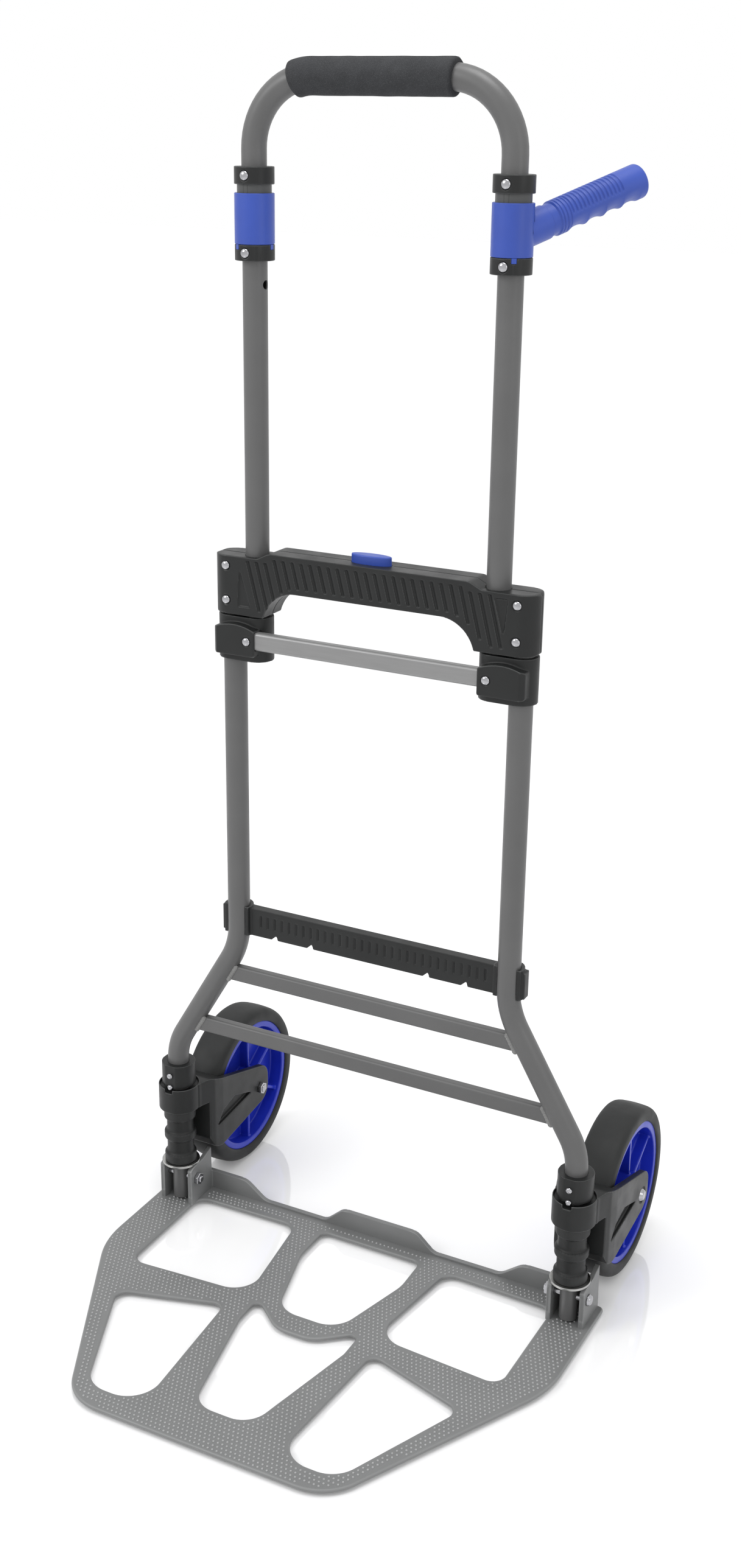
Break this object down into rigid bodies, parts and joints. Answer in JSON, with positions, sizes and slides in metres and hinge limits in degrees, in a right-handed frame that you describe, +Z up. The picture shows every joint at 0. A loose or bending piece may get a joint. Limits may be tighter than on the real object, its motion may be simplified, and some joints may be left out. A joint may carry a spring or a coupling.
{
  "type": "folding hand truck",
  "caption": "Folding two-wheel hand truck with telescoping handle, swivelling side grip, hinged cast toe plate and wheels that swing in as the plate folds.",
  "frame": {"origin": "on the floor under the middle of the truck's bounding box", "axes": "+Z up along the telescoping frame, +Y to the rear where the wheels are, +X to the right seen from the front"},
  "size_m": [0.509, 0.532, 1.1495],
  "materials": {
    "frame_paint": "satin grey coating",
    "link_aluminium": "matte",
    "plate_paint": "satin grey on cast aluminium",
    "black_plastic": "matte",
    "spring_rubber": "matte",
    "blue_plastic": "satin",
    "rim_plastic": "satin",
    "tyre_rubber": "matte",
    "foam": "foam",
    "bright_steel": "polished",
    "zinc": "zinc plated",
    "pin_steel": "plain"
  },
  "bodies": {
    "frame": {"lower_tube_left": "frame_paint", "lower_tube_right": "frame_paint", "foot_post_left": "frame_paint", "foot_post_right": "frame_paint", "foot_collar_left": "black_plastic", "foot_collar_right": "black_plastic", "spring_sleeve_left": "spring_rubber", "spring_sleeve_right": "spring_rubber", "foot_washer_left": "zinc", "foot_washer_right": "zinc", "upper_crossbar": "frame_paint", "lower_crossbar": "frame_paint", "stop_strip": "black_plastic", "foot_collar_screws": "bright_steel", "housing_front": "black_plastic", "housing_rear": "black_plastic", "housing_rivets": "bright_steel"},
    "handle": {"handle_tube": "frame_paint", "foam_grip": "foam", "sleeve_liner_left": "black_plastic", "sleeve_liner_right": "black_plastic", "lower_collar_left": "black_plastic", "lower_collar_right": "black_plastic", "upper_collar_left": "black_plastic", "upper_collar_right": "black_plastic", "collar_rivets": "bright_steel", "slider_left": "black_plastic", "slider_right": "black_plastic", "link_bar": "link_aluminium", "slider_rivets": "bright_steel"},
    "side_grip": {"grip_sleeve_right": "blue_plastic", "side_grip": "blue_plastic", "sleeve_tabs_right": "blue_plastic"},
    "left_sleeve": {"leg_sleeve_left": "blue_plastic", "sleeve_tabs_left": "blue_plastic"},
    "release_button": {"release_button": "blue_plastic"},
    "lock_bolt_left": {"lock_bolt_left": "pin_steel"},
    "lock_bolt_right": {"lock_bolt_right": "pin_steel"},
    "toe_plate": {"toe_plate": "plate_paint", "pivot_bolts": "bright_steel", "pivot_nuts": "bright_steel"},
    "wheel_bracket_left": {"wheel_bracket_left": "black_plastic", "axle_left": "bright_steel", "axle_nut_left": "bright_steel"},
    "wheel_bracket_right": {"wheel_bracket_right": "black_plastic", "axle_right": "bright_steel", "axle_nut_right": "bright_steel"},
    "wheel_left": {"rim_left": "rim_plastic", "tyre_left": "tyre_rubber"},
    "wheel_right": {"rim_right": "rim_plastic", "tyre_right": "tyre_rubber"}
  },
  "joints": [
    {"name": "handle_slide", "type": "slide", "parent": "frame", "child": "handle", "axis": [0, 0, 1], "range_m": [-0.25, 0]},
    {"name": "side_grip_turn", "type": "hinge", "parent": "handle", "child": "side_grip", "pos_m": [0.121, 0.061, 1.014], "axis": [0, 0, 1], "range_deg": [-120, 120], "deforming": ["sleeve_tabs_right"]},
    {"name": "left_sleeve_turn", "type": "hinge", "parent": "handle", "child": "left_sleeve", "pos_m": [-0.121, 0.061, 1.014], "axis": [0, 0, 1], "range_deg": [-120, 120], "deforming": ["sleeve_tabs_left"]},
    {"name": "button_press", "type": "slide", "parent": "frame", "child": "release_button", "axis": [0, 0, -1], "range_m": [0, 0.0045], "stiffness_N_per_m": 1500, "springref_m": -0.002},
    {"name": "lock_bolt_left_slide", "type": "slide", "parent": "frame", "child": "lock_bolt_left", "axis": [1, 0, 0], "range_m": [0, 0.0045]},
    {"name": "lock_bolt_right_slide", "type": "slide", "parent": "frame", "child": "lock_bolt_right", "axis": [-1, 0, 0], "range_m": [0, 0.0045]},
    {"name": "toe_plate_fold", "type": "hinge", "parent": "frame", "child": "toe_plate", "pos_m": [0, 0.061, 0.034], "axis": [-1, 0, 0], "range_deg": [0, 90]},
    {"name": "wheel_bracket_left_swing", "type": "hinge", "parent": "frame", "child": "wheel_bracket_left", "pos_m": [-0.223, 0.061, 0.13], "axis": [0, 0, -1], "range_deg": [0, 90]},
    {"name": "wheel_bracket_right_swing", "type": "hinge", "parent": "frame", "child": "wheel_bracket_right", "pos_m": [0.223, 0.061, 0.13], "axis": [0, 0, 1], "range_deg": [0, 90]},
    {"name": "wheel_left_spin", "type": "hinge", "parent": "wheel_bracket_left", "child": "wheel_left", "pos_m": [-0.223, 0.178, 0.088], "axis": [1, 0, 0], "continuous": true},
    {"name": "wheel_right_spin", "type": "hinge", "parent": "wheel_bracket_right", "child": "wheel_right", "pos_m": [0.223, 0.178, 0.088], "axis": [1, 0, 0], "continuous": true}
  ],
  "couplings": [
    {"joint": "lock_bolt_left_slide", "follows": "button_press", "ratio": 1},
    {"joint": "lock_bolt_right_slide", "follows": "button_press", "ratio": 1},
    {"joint": "wheel_bracket_left_swing", "follows": "toe_plate_fold", "ratio": 1},
    {"joint": "wheel_bracket_right_swing", "follows": "toe_plate_fold", "ratio": 1}
  ]
}
